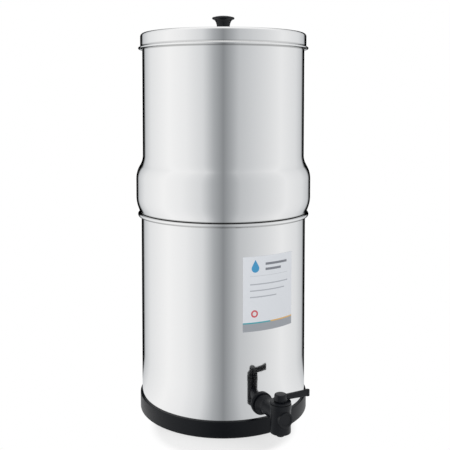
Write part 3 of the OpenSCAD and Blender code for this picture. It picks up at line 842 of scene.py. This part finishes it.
# %% Hub
hub_outline = [(HUB_FOOT_R - HUB_FOOT_EDGE, HUB_Z), (HUB_FOOT_R, HUB_Z + HUB_FOOT_EDGE)]
hub_outline += arc((HUB_FOOT_R - SOFT, HUB_Z + HUB_FOOT_H - SOFT), SOFT, 0, HUB_FOOT_TURN, 4)
hub_outline += arc((HUB_R - HUB_EDGE, HUB_Z + HUB_H - HUB_EDGE), HUB_EDGE, 0, 90, 9)
lever = turned("tap_handle", solid(hub_outline), SMALL_ROUND, at_tap)
print("hub", len(lever.data.polygons), "faces")

# %% Blade
bm = bmesh.new()
bmesh.ops.create_cube(bm, size=1)
bmesh.ops.scale(bm, vec=(BLADE_TIP - BLADE_ROOT, BLADE_T, BLADE_H), verts=bm.verts)
tip = [v for v in bm.verts if v.co.x > 0]
bmesh.ops.scale(bm, vec=(1, 1, BLADE_TIP_H / BLADE_H), verts=tip)
bmesh.ops.bevel(bm, geom=bm.edges[:], offset=BLADE_EDGE, segments=3, profile=0.5,
                affect="EDGES", material=-1)
bmesh.ops.translate(bm, vec=((BLADE_TIP + BLADE_ROOT) / 2, 0, BLADE_Z), verts=bm.verts)
bmesh.ops.transform(bm, matrix=at_tap, verts=bm.verts)
combine(lever, finish_mesh("blade", bm), "UNION")
print("hub and blade", len(lever.data.polygons), "faces")

# %% End block and socket
end_outline = arc((END_R - SOFT, BLADE_Z - END_H / 2 + SOFT), SOFT, -90, 0, 5)
end_outline += arc((END_R - SOFT, BLADE_Z + END_H / 2 - SOFT), SOFT, 0, 90, 5)
end_place = at_tap @ Matrix.Translation((BLADE_TIP, 0, 0))
combine(lever, turned("end", solid(end_outline), END_ROUND, end_place), "UNION")
socket = block("socket", (-SOCKET_HALF, -SOCKET_HALF, HUB_Z - OVER),
               (SOCKET_HALF, SOCKET_HALF, HUB_Z + DRIVE_H + SOCKET_ROOM), place=at_tap)
combine(lever, socket, "DIFFERENCE")
dress(lever, BLACK_PLASTIC, "tap_valve", "tap_lever")

# %% [markdown]
# ## Filter candles
#
# Four candles stand on the floor of the upper vessel, where the lid hides them. Each has a domed shell of
# bisque ceramic, a base cap whose threaded stem passes through the floor, and a wing nut under it. An array
# modifier could repeat them, but each copy is a piece with a name of its own. So one of each is made on the
# axis, and copies of its mesh are moved to the four places.

# %% Stamp copies
def stamp(pattern, name, finish, node):
    """Copies a pattern piece to each candle's place, then removes the pattern."""
    for i in range(CANDLES):
        mesh = pattern.data.copy()
        mesh.transform(at_candle(i))
        piece = bpy.data.objects.new(f"{name}_{i + 1}", mesh)
        bpy.context.scene.collection.objects.link(piece)
        dress(piece, finish, "upper_unit", f"{node}_{i + 1}")
    bpy.data.objects.remove(pattern)


# %% [markdown]
# ### Ceramic shells
#
# The shell is what cleans the water: a tube of unglazed ceramic, open below and domed above, with the
# carbon in its hollow. A tube and a half sphere could be joined, but the dome is only the end of the same
# outline, outside and inside.

# %% Ceramic shells
SHELL_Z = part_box("ceramic_shell_1")[0].z
SHELL_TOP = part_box("ceramic_shell_1")[1].z
SHELL_R = 25 * MM
SHELL_IN = 17 * MM

shell_outline = [(SHELL_IN, SHELL_Z), (SHELL_R - SOFT, SHELL_Z), (SHELL_R, SHELL_Z + SOFT)]
shell_outline += arc((0, SHELL_TOP - SHELL_R), SHELL_R, 0, 90, 24)
shell_outline += arc((0, SHELL_TOP - SHELL_R), SHELL_IN, 90, 0, 20)
stamp(turned("shell", shell_outline, SMALL_ROUND), "candle_shell", CERAMIC, "ceramic_shell")

# %% [markdown]
# ### Base caps with their stems
#
# A plastic cup that the shell is glued into, in one piece with the stem that the clean water runs down.
# The way through it could be drilled afterwards. An outline that starts at the way's radius leaves it open
# from the first.

# %% Base caps with their stems
CAP_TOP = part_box("candle_base_1")[1].z
CAP_H = 13 * MM
CAP_Z = CAP_TOP - CAP_H
STEM_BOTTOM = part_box("candle_base_1")[0].z
CAP_R = 28.5 * MM
CAP_EDGE = 1.5 * MM
STEM_BORE_R = 2.5 * MM
PLAIN_STEM = 4 * MM

cap_outline = [(STEM_BORE_R, STEM_BOTTOM)]
cap_outline += thread(STEM_R, STEM_BOTTOM, CAP_Z - PLAIN_STEM)
cap_outline += [(STEM_R, CAP_Z - PLAIN_STEM), (STEM_R, CAP_Z)]
cap_outline += arc((CAP_R - CAP_EDGE, CAP_Z + CAP_EDGE), CAP_EDGE, -90, 0, 6)
cap_outline += arc((CAP_R - CAP_EDGE, CAP_TOP - CAP_EDGE), CAP_EDGE, 0, 90, 6)
cap_outline += [(SHELL_R + PLAY, CAP_TOP), (SHELL_R + PLAY, SHELL_Z), (STEM_BORE_R, SHELL_Z)]
stamp(turned("cap", cap_outline, SMALL_ROUND), "candle_cap", WHITE_PLASTIC, "candle_base")

# %% [markdown]
# ### Wing nuts
#
# A nut that fingers can turn, because it is reached from below without a tool. Its wings could be drawn
# flat and thickened, but on the real one they are round ears. So each is a short turned disc, laid on its
# side, and a web joins both to the hub.

# %% Wing nuts
NUT_R = 9 * MM
NUT_H = 9 * MM
NUT_Z = FLOOR - NUT_H
WING_R = 6.5 * MM
WING_X = 12.5 * MM
WING_HALF = 1.5 * MM
WEB_HALF = 3 * MM
WING_ROUND = 48

nut_outline = [(NUT_R - SOFT, NUT_Z), (NUT_R, NUT_Z + SOFT), (NUT_R, FLOOR - SOFT), (NUT_R - SOFT, FLOOR)]
nut = turned("nut", solid(nut_outline), SMALL_ROUND)
for side in (-1, 1):
    wing_outline = arc((WING_R - SOFT, SOFT - WING_HALF), SOFT, -90, 0, 4)
    wing_outline += arc((WING_R - SOFT, WING_HALF - SOFT), SOFT, 0, 90, 4)
    upright = Matrix.Translation((side * WING_X, 0, NUT_Z)) @ Matrix.Rotation(math.pi / 2, 4, "X")
    combine(nut, turned("wing", solid(wing_outline), WING_ROUND, upright), "UNION")
web = block("web", (-WING_X, -WING_HALF, NUT_Z - WEB_HALF), (WING_X, WING_HALF, NUT_Z + WEB_HALF), SOFT)
combine(nut, web, "UNION")
combine(nut, rod(STEM_R + THREAD_PLAY, NUT_Z - 2 * WING_R, FLOOR + OVER), "DIFFERENCE")
stamp(nut, "candle_nut", WHITE_PLASTIC, "wing_nut")

# %% [markdown]
# ## Front label
#
# A thin printed film, bent to the drum. A flat sheet could be bent round it with a modifier, but it has to
# keep the same gap everywhere. So a narrow rectangle, as thick as the film, is spun through part of a turn,
# and its two open ends are filled.

# %% Sizes of the label
LABEL_FROM = 12.5
LABEL_SPAN = 39
LABEL_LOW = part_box("front_label")[0].z
LABEL_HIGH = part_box("front_label")[1].z
LABEL_GLUE = 0.03 * MM
LABEL_T = 0.25 * MM
LABEL_IN = DRUM_R + LABEL_GLUE
LABEL_OUT = LABEL_IN + LABEL_T
LABEL_TALL = LABEL_HIGH - LABEL_LOW
LABEL_WIDE = LABEL_OUT * math.radians(LABEL_SPAN)
LABEL_STEPS = 40
print("label", LABEL_WIDE, "wide and", LABEL_TALL, "high")

# %% Label shape
bm = bmesh.new()
corners = [bm.verts.new(c) for c in ((LABEL_IN, 0, LABEL_LOW), (LABEL_OUT, 0, LABEL_LOW),
                                     (LABEL_OUT, 0, LABEL_HIGH), (LABEL_IN, 0, LABEL_HIGH))]
for a, b in zip(corners, corners[1:] + corners[:1]):
    bm.edges.new((a, b))
bmesh.ops.spin(bm, geom=bm.verts[:] + bm.edges[:], cent=(0, 0, 0), axis=(0, 0, 1),
               angle=math.radians(LABEL_SPAN), steps=LABEL_STEPS)
bmesh.ops.holes_fill(bm, edges=[e for e in bm.edges if e.is_boundary], sides=4)
bmesh.ops.rotate(bm, cent=(0, 0, 0), matrix=Matrix.Rotation(math.radians(LABEL_FROM - 90), 3, "Z"),
                 verts=bm.verts)
label = finish_mesh("front_film", bm)
print("label", len(label.data.polygons), "faces")

# %% [markdown]
# ### Its print
#
# The print is plain: a drop, two broad bars beside it, fine rules, a small red seal and a footer. An image
# could hold it, but shapes that are worked out from numbers stay sharp. `u` runs from 0 at the label's left
# edge to 1 at its right, from the bearing round the drum, and `v` from 0 at its foot to 1 at its head. A bar
# is 1 where a point is within half its width and half its height, a disc is 1 within its radius, and each
# colour is laid over what is under it.

# %% What is printed
# Each bar: its left, right, foot and head as shares of the label, and its colour
RULE_INK = (0.42, 0.44, 0.48)
HEAD_INK = (0.20, 0.21, 0.24)
BARS = ((-0.1, 1.1, -0.1, 0.105, (0.33, 0.35, 0.38)),
        (-0.1, 0.5, 0.105, 0.122, (0.05, 0.36, 0.42)),
        (0.5, 1.1, 0.105, 0.122, (0.72, 0.43, 0.13)),
        (0.12, 0.88, 0.62, 0.636, RULE_INK),
        (0.12, 0.80, 0.535, 0.551, RULE_INK),
        (0.12, 0.62, 0.45, 0.466, RULE_INK),
        (0.12, 0.88, 0.735, 0.741, (0.55, 0.57, 0.60)),
        (0.40, 0.86, 0.875, 0.907, HEAD_INK),
        (0.40, 0.72, 0.805, 0.837, HEAD_INK))
# Each ring of the seal: its radius as a share of the label's height, and its colour
SEAL_MIDDLE = (0.20, 0.235)
SEAL_RINGS = ((0.050, (0.60, 0.10, 0.12)), (0.028, (0.72, 0.70, 0.72)))
# The drop: a disc, and above it a point between two slanted sides
DROP_MIDDLE = (0.215, 0.84)
DROP_R = 0.055
DROP_TIP = 2.1 * DROP_R
DROP_SLANT = 0.55
DROP_NECK = 0.45 * DROP_R
DROP_INK = (0.05, 0.30, 0.55)
FILM_GRAIN = 900.0
FILM_SPREAD = 0.04
print(len(BARS), "bars and", len(SEAL_RINGS), "rings")


# %% Label print
def printed_film(name, card, roughness):
    """The film's own colour with the print over it."""
    finish, shader = new_finish(name, card, roughness)
    spot, x, y, z = position(finish)
    bearing = maths(finish, "ARCTAN2", x, maths(finish, "MULTIPLY", y, -1))
    bearing = maths(finish, "MULTIPLY", bearing, 180 / math.pi)
    u = maths(finish, "DIVIDE", maths(finish, "SUBTRACT", bearing, LABEL_FROM), LABEL_SPAN)
    v = maths(finish, "DIVIDE", maths(finish, "SUBTRACT", z, LABEL_LOW), LABEL_TALL)

    def between(value, low, high):
        """1 from low to high, else 0."""
        return maths(finish, "COMPARE", value, (low + high) / 2, (high - low) / 2)

    def offsets(middle):
        """How far a point is across and up from a middle, in shares of the label's height."""
        across = maths(finish, "SUBTRACT", u, middle[0])
        across = maths(finish, "MULTIPLY", across, LABEL_WIDE / LABEL_TALL)
        return across, maths(finish, "SUBTRACT", v, middle[1])

    def disc(across, up, radius):
        """1 within the radius, else 0."""
        return maths(finish, "LESS_THAN", distance(finish, across, up), radius)

    ink = (*card, 1)
    for left, right, foot, head, colour in BARS:
        bar = maths(finish, "MULTIPLY", between(u, left, right), between(v, foot, head))
        ink = blend(finish, bar, ink, (*colour, 1))
    for radius, colour in SEAL_RINGS:
        ink = blend(finish, disc(*offsets(SEAL_MIDDLE), radius), ink, (*colour, 1))

    across, up = offsets(DROP_MIDDLE)
    side = maths(finish, "MULTIPLY", maths(finish, "SUBTRACT", DROP_TIP, up), DROP_SLANT)
    inside = maths(finish, "LESS_THAN", maths(finish, "ABSOLUTE", across), side)
    point = maths(finish, "MULTIPLY", inside, maths(finish, "GREATER_THAN", up, DROP_NECK))
    drop = maths(finish, "MAXIMUM", disc(across, up, DROP_R), point)
    ink = blend(finish, drop, ink, (*DROP_INK, 1))

    wire(finish, ink, shader.inputs["Base Color"])
    grain = noise(finish, spot, FILM_GRAIN)
    spread = remap(finish, grain, 0, 1, roughness - FILM_SPREAD, roughness + FILM_SPREAD)
    wire(finish, spread, shader.inputs["Roughness"])
    return finish


FILM = printed_film("printed_film", (0.715, 0.74, 0.78), 0.35)
dress(label, FILM, "lower_unit", "front_label")

# %% [markdown]
# ## Solids that stay
#
# The sealing rings, washers, back nut, screw and carbon cores already have their true shape. They could be
# turned again, but that would only copy them, so their solids stay and get a finish by the slot that the
# record gives them.

# %% Finish the solids that stay
FINISHES = {"steel": STEEL, "screw_steel": SCREW_STEEL, "rubber": RUBBER, "ceramic": CERAMIC,
            "black_plastic": BLACK_PLASTIC, "carbon": CARBON, "white_plastic": WHITE_PLASTIC, "label": FILM}
for part in frame["record"]["subparts"]:
    kept = frame["nodes"][part["node"]]
    if not kept.hide_render:
        kept.data.materials.clear()
        kept.data.materials.append(FINISHES[part["material_slot"]])
        print("kept", kept.name)

# %% [markdown]
# ## Floor
#
# The filter stands on a white table in front of white. A brighter lamp would make the table white, but it
# would wash out the steel as well. So the floor takes the shadow, and a share of plain white is mixed in for
# the camera and for reflections, which leaves the shadow as faint as on a lit table. The share is less in a
# round patch that is centred ahead of the axis, so the shadow only shows in front.

# %% Who sees plain white
def white_to_eyes(finish):
    """1 for rays of the camera and for reflected and transmitted rays, else 0."""
    path = add(finish, "ShaderNodeLightPath")
    eyes = path.outputs["Is Camera Ray"]
    for kind in ("Is Glossy Ray", "Is Transmission Ray"):
        eyes = maths(finish, "MAXIMUM", eyes, path.outputs[kind])
    return eyes


# %% Table
FLOOR_HALF = 6.0

bm = bmesh.new()
bmesh.ops.create_grid(bm, x_segments=1, y_segments=1, size=FLOOR_HALF)
floor = finish_mesh("table", bm)
print("table", 2 * FLOOR_HALF, "m wide")

# %% White table with a faint shade
SHADE_AHEAD = 0.072
SHADE_FROM = 0.078
SHADE_TO = 0.094
SHADE_WHITE = 0.54

table_white, table_shader = new_finish("table_white", (0.86, 0.86, 0.86), 0.9)
_, x, y, _ = position(table_white)
from_patch = distance(table_white, x, maths(table_white, "ADD", y, SHADE_AHEAD))
white = remap(table_white, from_patch, SHADE_FROM, SHADE_TO, SHADE_WHITE, 1.0, "SMOOTHSTEP")
white = maths(table_white, "MULTIPLY", white_to_eyes(table_white), white)
glow = add(table_white, "ShaderNodeEmission")
lit = add(table_white, "ShaderNodeMixShader")
wire(table_white, white, lit.inputs["Fac"])
wire(table_white, table_shader.outputs["BSDF"], lit.inputs[1])
wire(table_white, glow.outputs["Emission"], lit.inputs[2])
table_surface = table_white.node_tree.nodes["Material Output"].inputs["Surface"]
wire(table_white, lit.outputs["Shader"], table_surface)
floor.data.materials.append(table_white)
print("shade", SHADE_WHITE, "white within", SHADE_FROM, "m")

# %% [markdown]
# ## World
#
# The room round the table is white as well, and gives most of the light. Walls could be built, but an even
# world does the same without corners. It is white to the camera and in reflections, and a little dimmer as
# a light, so that pale pieces don't clip.

# %% World
WORLD_LIGHT = 0.72

world = bpy.data.worlds.new("white_room")
world.use_nodes = True
bpy.context.scene.world = world
background = world.node_tree.nodes["Background"]
background.inputs["Color"].default_value = (1, 1, 1, 1)
strength = remap(world, white_to_eyes(world), 0, 1, WORLD_LIGHT, 1.0)
wire(world, strength, background.inputs["Strength"])
print("world gives", WORLD_LIGHT, "as a light")

# %% [markdown]
# ## A studio for the steel
#
# Polished steel shows its surroundings, so a photographer sets cards round it: pale ones at the sides, a
# darker one in front, and black ones behind, which draw a thin dark line down both edges. Flat cards would
# show their corners in the round drum, so here they are one round screen that only reflections see. Its
# brightness is a colour ramp over the bearing round the axis, the dark cards are a little cooler than the
# pale ones, and it all fades to a white ceiling. It lights nothing.

# %% Screen
SCREEN_IN = 0.112
SCREEN_R = 0.26
SCREEN_TOP = 1.2
SCREEN_FOOT = 0.001
SCREEN_STEPS = 96

bm = bmesh.new()
screen_path = [(SCREEN_IN, SCREEN_FOOT), (SCREEN_R, SCREEN_FOOT), (SCREEN_R, SCREEN_TOP), (0, SCREEN_TOP)]
corners = [bm.verts.new((r, 0, z)) for r, z in screen_path]
for a, b in zip(corners, corners[1:]):
    bm.edges.new((a, b))
bmesh.ops.spin(bm, geom=bm.verts[:] + bm.edges[:], cent=(0, 0, 0), axis=(0, 0, 1),
               angle=2 * math.pi, steps=SCREEN_STEPS, use_merge=True)
screen = finish_mesh("cards", bm)
for seen in ("camera", "diffuse", "transmission", "shadow", "volume_scatter"):
    setattr(screen, f"visible_{seen}", False)
print("screen", SCREEN_R, "m from the axis")

# %% Cards
# Each stop: its bearing from the front in degrees, and how bright the card is there
CARDS = ((-180, 0.57), (-160, 0.43), (-152, 0), (-126, 0), (-120, 0.57), (-100, 0.84), (-65, 1),
         (-42, 0.92), (-22, 0.745), (-10, 0.43), (0, 0.27), (10, 0.43), (17, 0.57), (32, 0.67),
         (70, 0.9), (100, 0.78), (120, 0.55), (127, 0), (152, 0), (160, 0.43), (180, 0.57))
COOL = 0.12

card = bpy.data.materials.new("card")
card.use_nodes = True
card.node_tree.nodes.remove(card.node_tree.nodes["Principled BSDF"])
_, x, y, z = position(card)
bearing = maths(card, "ARCTAN2", x, maths(card, "MULTIPLY", y, -1))
ramp = add(card, "ShaderNodeValToRGB")
stops = ramp.color_ramp.elements
stops.remove(stops[1])
for i, (degrees, bright) in enumerate(CARDS):
    place = (degrees + 180) / 360
    stop = stops.new(place) if i else stops[0]
    stop.position = place
    cool = COOL * (1 - bright)
    stop.color = (bright, bright * (1 + cool / 2), bright * (1 + cool), 1)
turn = maths(card, "ADD", maths(card, "DIVIDE", bearing, 2 * math.pi), 0.5)
wire(card, turn, ramp.inputs["Fac"])
print("cards with", len(CARDS), "stops")

# %% White ceiling
CEILING_FROM = 0.60
CEILING_TO = 0.90

ceiling = remap(card, z, CEILING_FROM, CEILING_TO, 0, 1)
shine = add(card, "ShaderNodeEmission")
wire(card, blend(card, ceiling, ramp.outputs["Color"], (1, 1, 1, 1)), shine.inputs["Color"])
wire(card, shine.outputs["Emission"], card.node_tree.nodes["Material Output"].inputs["Surface"])
screen.data.materials.append(card)
print("ceiling fades in from", CEILING_FROM, "to", CEILING_TO)

# %% [markdown]
# ## Lamps
#
# Two large soft lamps, a key from the left and a fill from the right, shape the black pieces and the label.
# A small lamp would draw a hard shadow. They are kept out of reflections, because the cards already give
# the steel what it shows.

# %% Lamps
AIM = Vector((0, 0, 0.25))


def soft_lamp(name, place, power, size):
    """A square lamp that looks at the middle of the filter."""
    lamp = bpy.data.lights.new(name, "AREA")
    lamp.energy = power
    lamp.size = size
    holder = bpy.data.objects.new(name, lamp)
    bpy.context.scene.collection.objects.link(holder)
    holder.location = place
    holder.rotation_euler = (AIM - Vector(place)).to_track_quat("-Z", "Y").to_euler()
    holder.visible_glossy = False
    print(name, "at", place)


soft_lamp("key", (-1.4, -1.5, 1.7), 14, 1.2)
soft_lamp("fill", (1.6, -1.2, 1.3), 8, 1.4)

# %% [markdown]
# ## Camera
#
# The photograph looks almost level at the filter, from a little above its middle, so its upright edges stay
# upright. A camera that is simply aimed at the middle would make them lean. So this one is turned down by a
# few degrees only and its lens is shifted, as on a view camera.

# %% Camera
LENS = 59.504
SENSOR = 36
SHIFT = (0.0038, -0.1837)
CAMERA_PLACE = (0, -0.982, 0.4067)
CAMERA_TILT = 86.72

camera = bpy.data.cameras.new("camera")
camera.lens = LENS
camera.sensor_width = SENSOR
camera.shift_x, camera.shift_y = SHIFT
viewer = bpy.data.objects.new("camera", camera)
bpy.context.scene.collection.objects.link(viewer)
viewer.location = CAMERA_PLACE
viewer.rotation_euler = (math.radians(CAMERA_TILT), 0, 0)
bpy.context.scene.camera = viewer
bpy.context.scene.view_settings.view_transform = "Standard"
print("camera at", CAMERA_PLACE, "with a", LENS, "mm lens")
